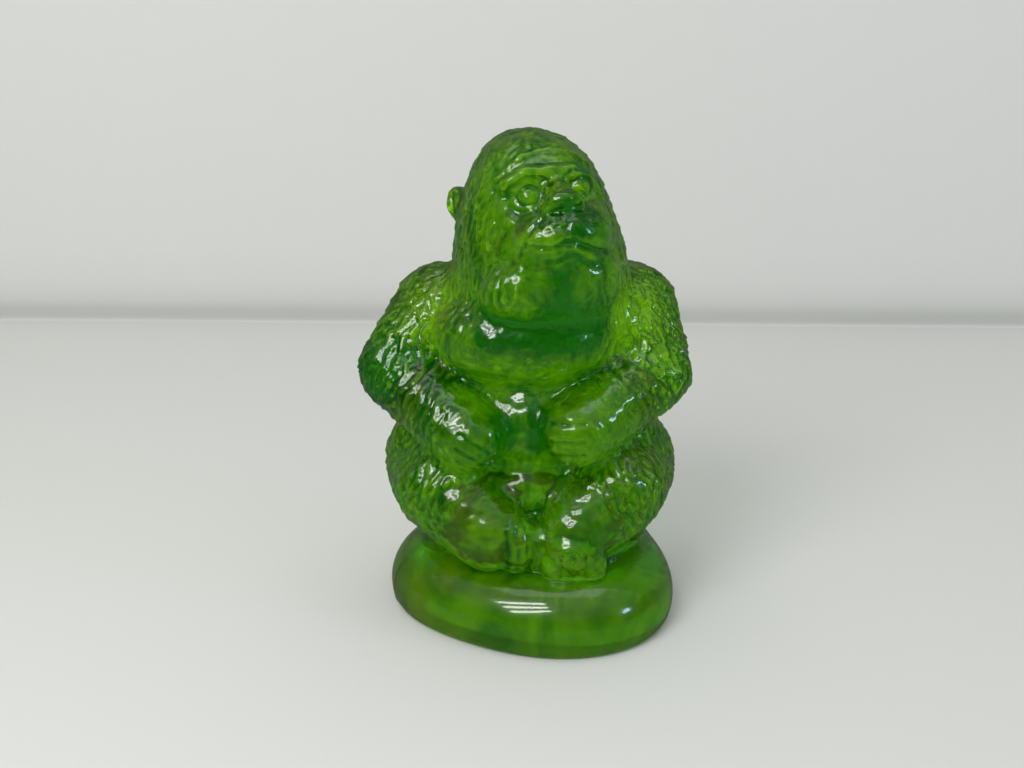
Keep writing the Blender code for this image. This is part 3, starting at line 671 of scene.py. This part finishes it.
# Patches painted into the colour: middle and reach of each, and how much paler it is as painted light, or darker
# as painted shade where negative: paler where light shines through thin glass, darker in creases and under things
PAINTED_LIGHT_AND_SHADE = (((-15, -4, 57), 11, 0.45), ((17, -4, 57), 11, 0.4), ((-17, -12, 6), 17, 0.15), ((11, -20, 5), 14, 0.12),
          ((-9, -18, 20), 9, 0.2), ((6, -20, 16), 8, 0.2), ((-13, -16, 34), 7, 0.15), ((17, -10, 42), 8, 0.1),
          ((-25, -4, 45), 12, -0.6), ((-17, -12, 42), 8, -0.25), ((-6, -17, 58), 8, -0.33), ((4, -18, 58), 8, -0.33),
          ((11, -14, 59), 8, -0.35), ((18, -8, 20), 9, -0.15), ((8, -16, 32), 6, -0.2), ((-1, -14, 40), 8, -0.25),
          ((24, -5, 44), 8, -0.2), ((-14, -16, 42), 6, -0.2), (on_head((-3, -12, -18)), 8, -0.32),
          (on_head((-8, -9, -9)), 8, 0.1), (on_head((1, -19, -4)), 7, -0.4), (on_head((5, -15, -12)), 9, -0.14),
          (on_head((-4, -15, -13)), 8, -0.14), (on_head((7, -12, 4)), 5, -0.3), ((-6.3, -16, 38), 5, -0.3),
          ((-7, -16, 33), 5, -0.3), ((2.6, -16, 36.6), 5, -0.25))
# Ends of the colour ramp, shared by the swirls, the painted shade (dark end) and the painted light (pale end)
DARK_SWIRL_AND_SHADE, PALE_SWIRL_AND_LIGHT = "#167C00", "#CBFF00"
THROUGH_GLASS, COLOUR_DEPTH = "#C5EB00", 90  # what light keeps on its way through, and how soon it takes the tint

glass = bpy.data.materials.new("pressed_lime_glass")
glass.use_nodes = True
shader = glass.node_tree.nodes["Principled BSDF"]
place = add_node(glass, "ShaderNodeTexCoord").outputs["Object"]
flow = add_node(glass, "ShaderNodeMapping", {"Vector": place, "Scale": (1, 1, 0.55), "Rotation": (0.3, 0.5, 0)})
swirl_and_painted_shade = add_node(glass, "ShaderNodeTexNoise", {"Vector": flow.outputs["Vector"], "Scale": 1 / (SWIRL * MM),
                                               "Detail": 6, "Roughness": 0.58, "Distortion": 2.2}).outputs["Fac"]
# Painted shade and light: creases are painted darker and ridges paler, by how pointed the skin is
painted_crease_shade = add_node(glass, "ShaderNodeNewGeometry").outputs["Pointiness"]
painted_crease_shade = add_node(glass, "ShaderNodeMapRange", {"Value": painted_crease_shade, "From Min": 0.44, "From Max": 0.56,
                                                "To Min": -0.3, "To Max": 0.3}).outputs["Result"]
swirl_and_painted_shade = add_node(glass, "ShaderNodeMath", {0: swirl_and_painted_shade, 1: painted_crease_shade}).outputs["Value"]
# Painted light and shade: each patch makes the colour paler, or darker where its strength is negative
for centre, reach, strength in PAINTED_LIGHT_AND_SHADE:
    centre = [MM * c for c in centre]
    apart = add_node(glass, "ShaderNodeVectorMath", {0: place, 1: centre}, operation="DISTANCE").outputs["Value"]
    here = add_node(glass, "ShaderNodeMapRange", {"Value": apart, "From Max": reach * MM, "To Min": strength,
                                                  "To Max": 0}, interpolation_type="SMOOTHSTEP")
    swirl_and_painted_shade = add_node(glass, "ShaderNodeMath", {0: swirl_and_painted_shade, 1: here.outputs["Result"]}).outputs["Value"]
swirl_and_shade_ramp = add_node(glass, "ShaderNodeValToRGB", {"Fac": swirl_and_painted_shade})
swirl_and_shade_ramp.color_ramp.elements[0].position = 0.3
swirl_and_shade_ramp.color_ramp.elements[0].color = linear(DARK_SWIRL_AND_SHADE)
swirl_and_shade_ramp.color_ramp.elements[1].position = 0.85
swirl_and_shade_ramp.color_ramp.elements[1].color = linear(PALE_SWIRL_AND_LIGHT)
glass.node_tree.links.new(swirl_and_shade_ramp.outputs["Color"], shader.inputs["Base Color"])
# Inside, a little haze scatters what passes through; outside, the fire-polished skin is the coat
shader.inputs["Roughness"].default_value = 0.16
shader.inputs["IOR"].default_value = 1.5
shader.inputs["Specular IOR Level"].default_value = 0
shader.inputs["Transmission Weight"].default_value = 0.89
shader.inputs["Coat Weight"].default_value = 1
shader.inputs["Coat Roughness"].default_value = 0.03
shader.inputs["Coat IOR"].default_value = 1.3
depth = add_node(glass, "ShaderNodeVolumeAbsorption", {"Color": linear(THROUGH_GLASS), "Density": COLOUR_DEPTH})
output = glass.node_tree.nodes["Material Output"]
glass.node_tree.links.new(depth.outputs["Volume"], output.inputs["Volume"])
gorilla.data.materials.append(glass)
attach(gorilla, "root")
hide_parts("gorilla")
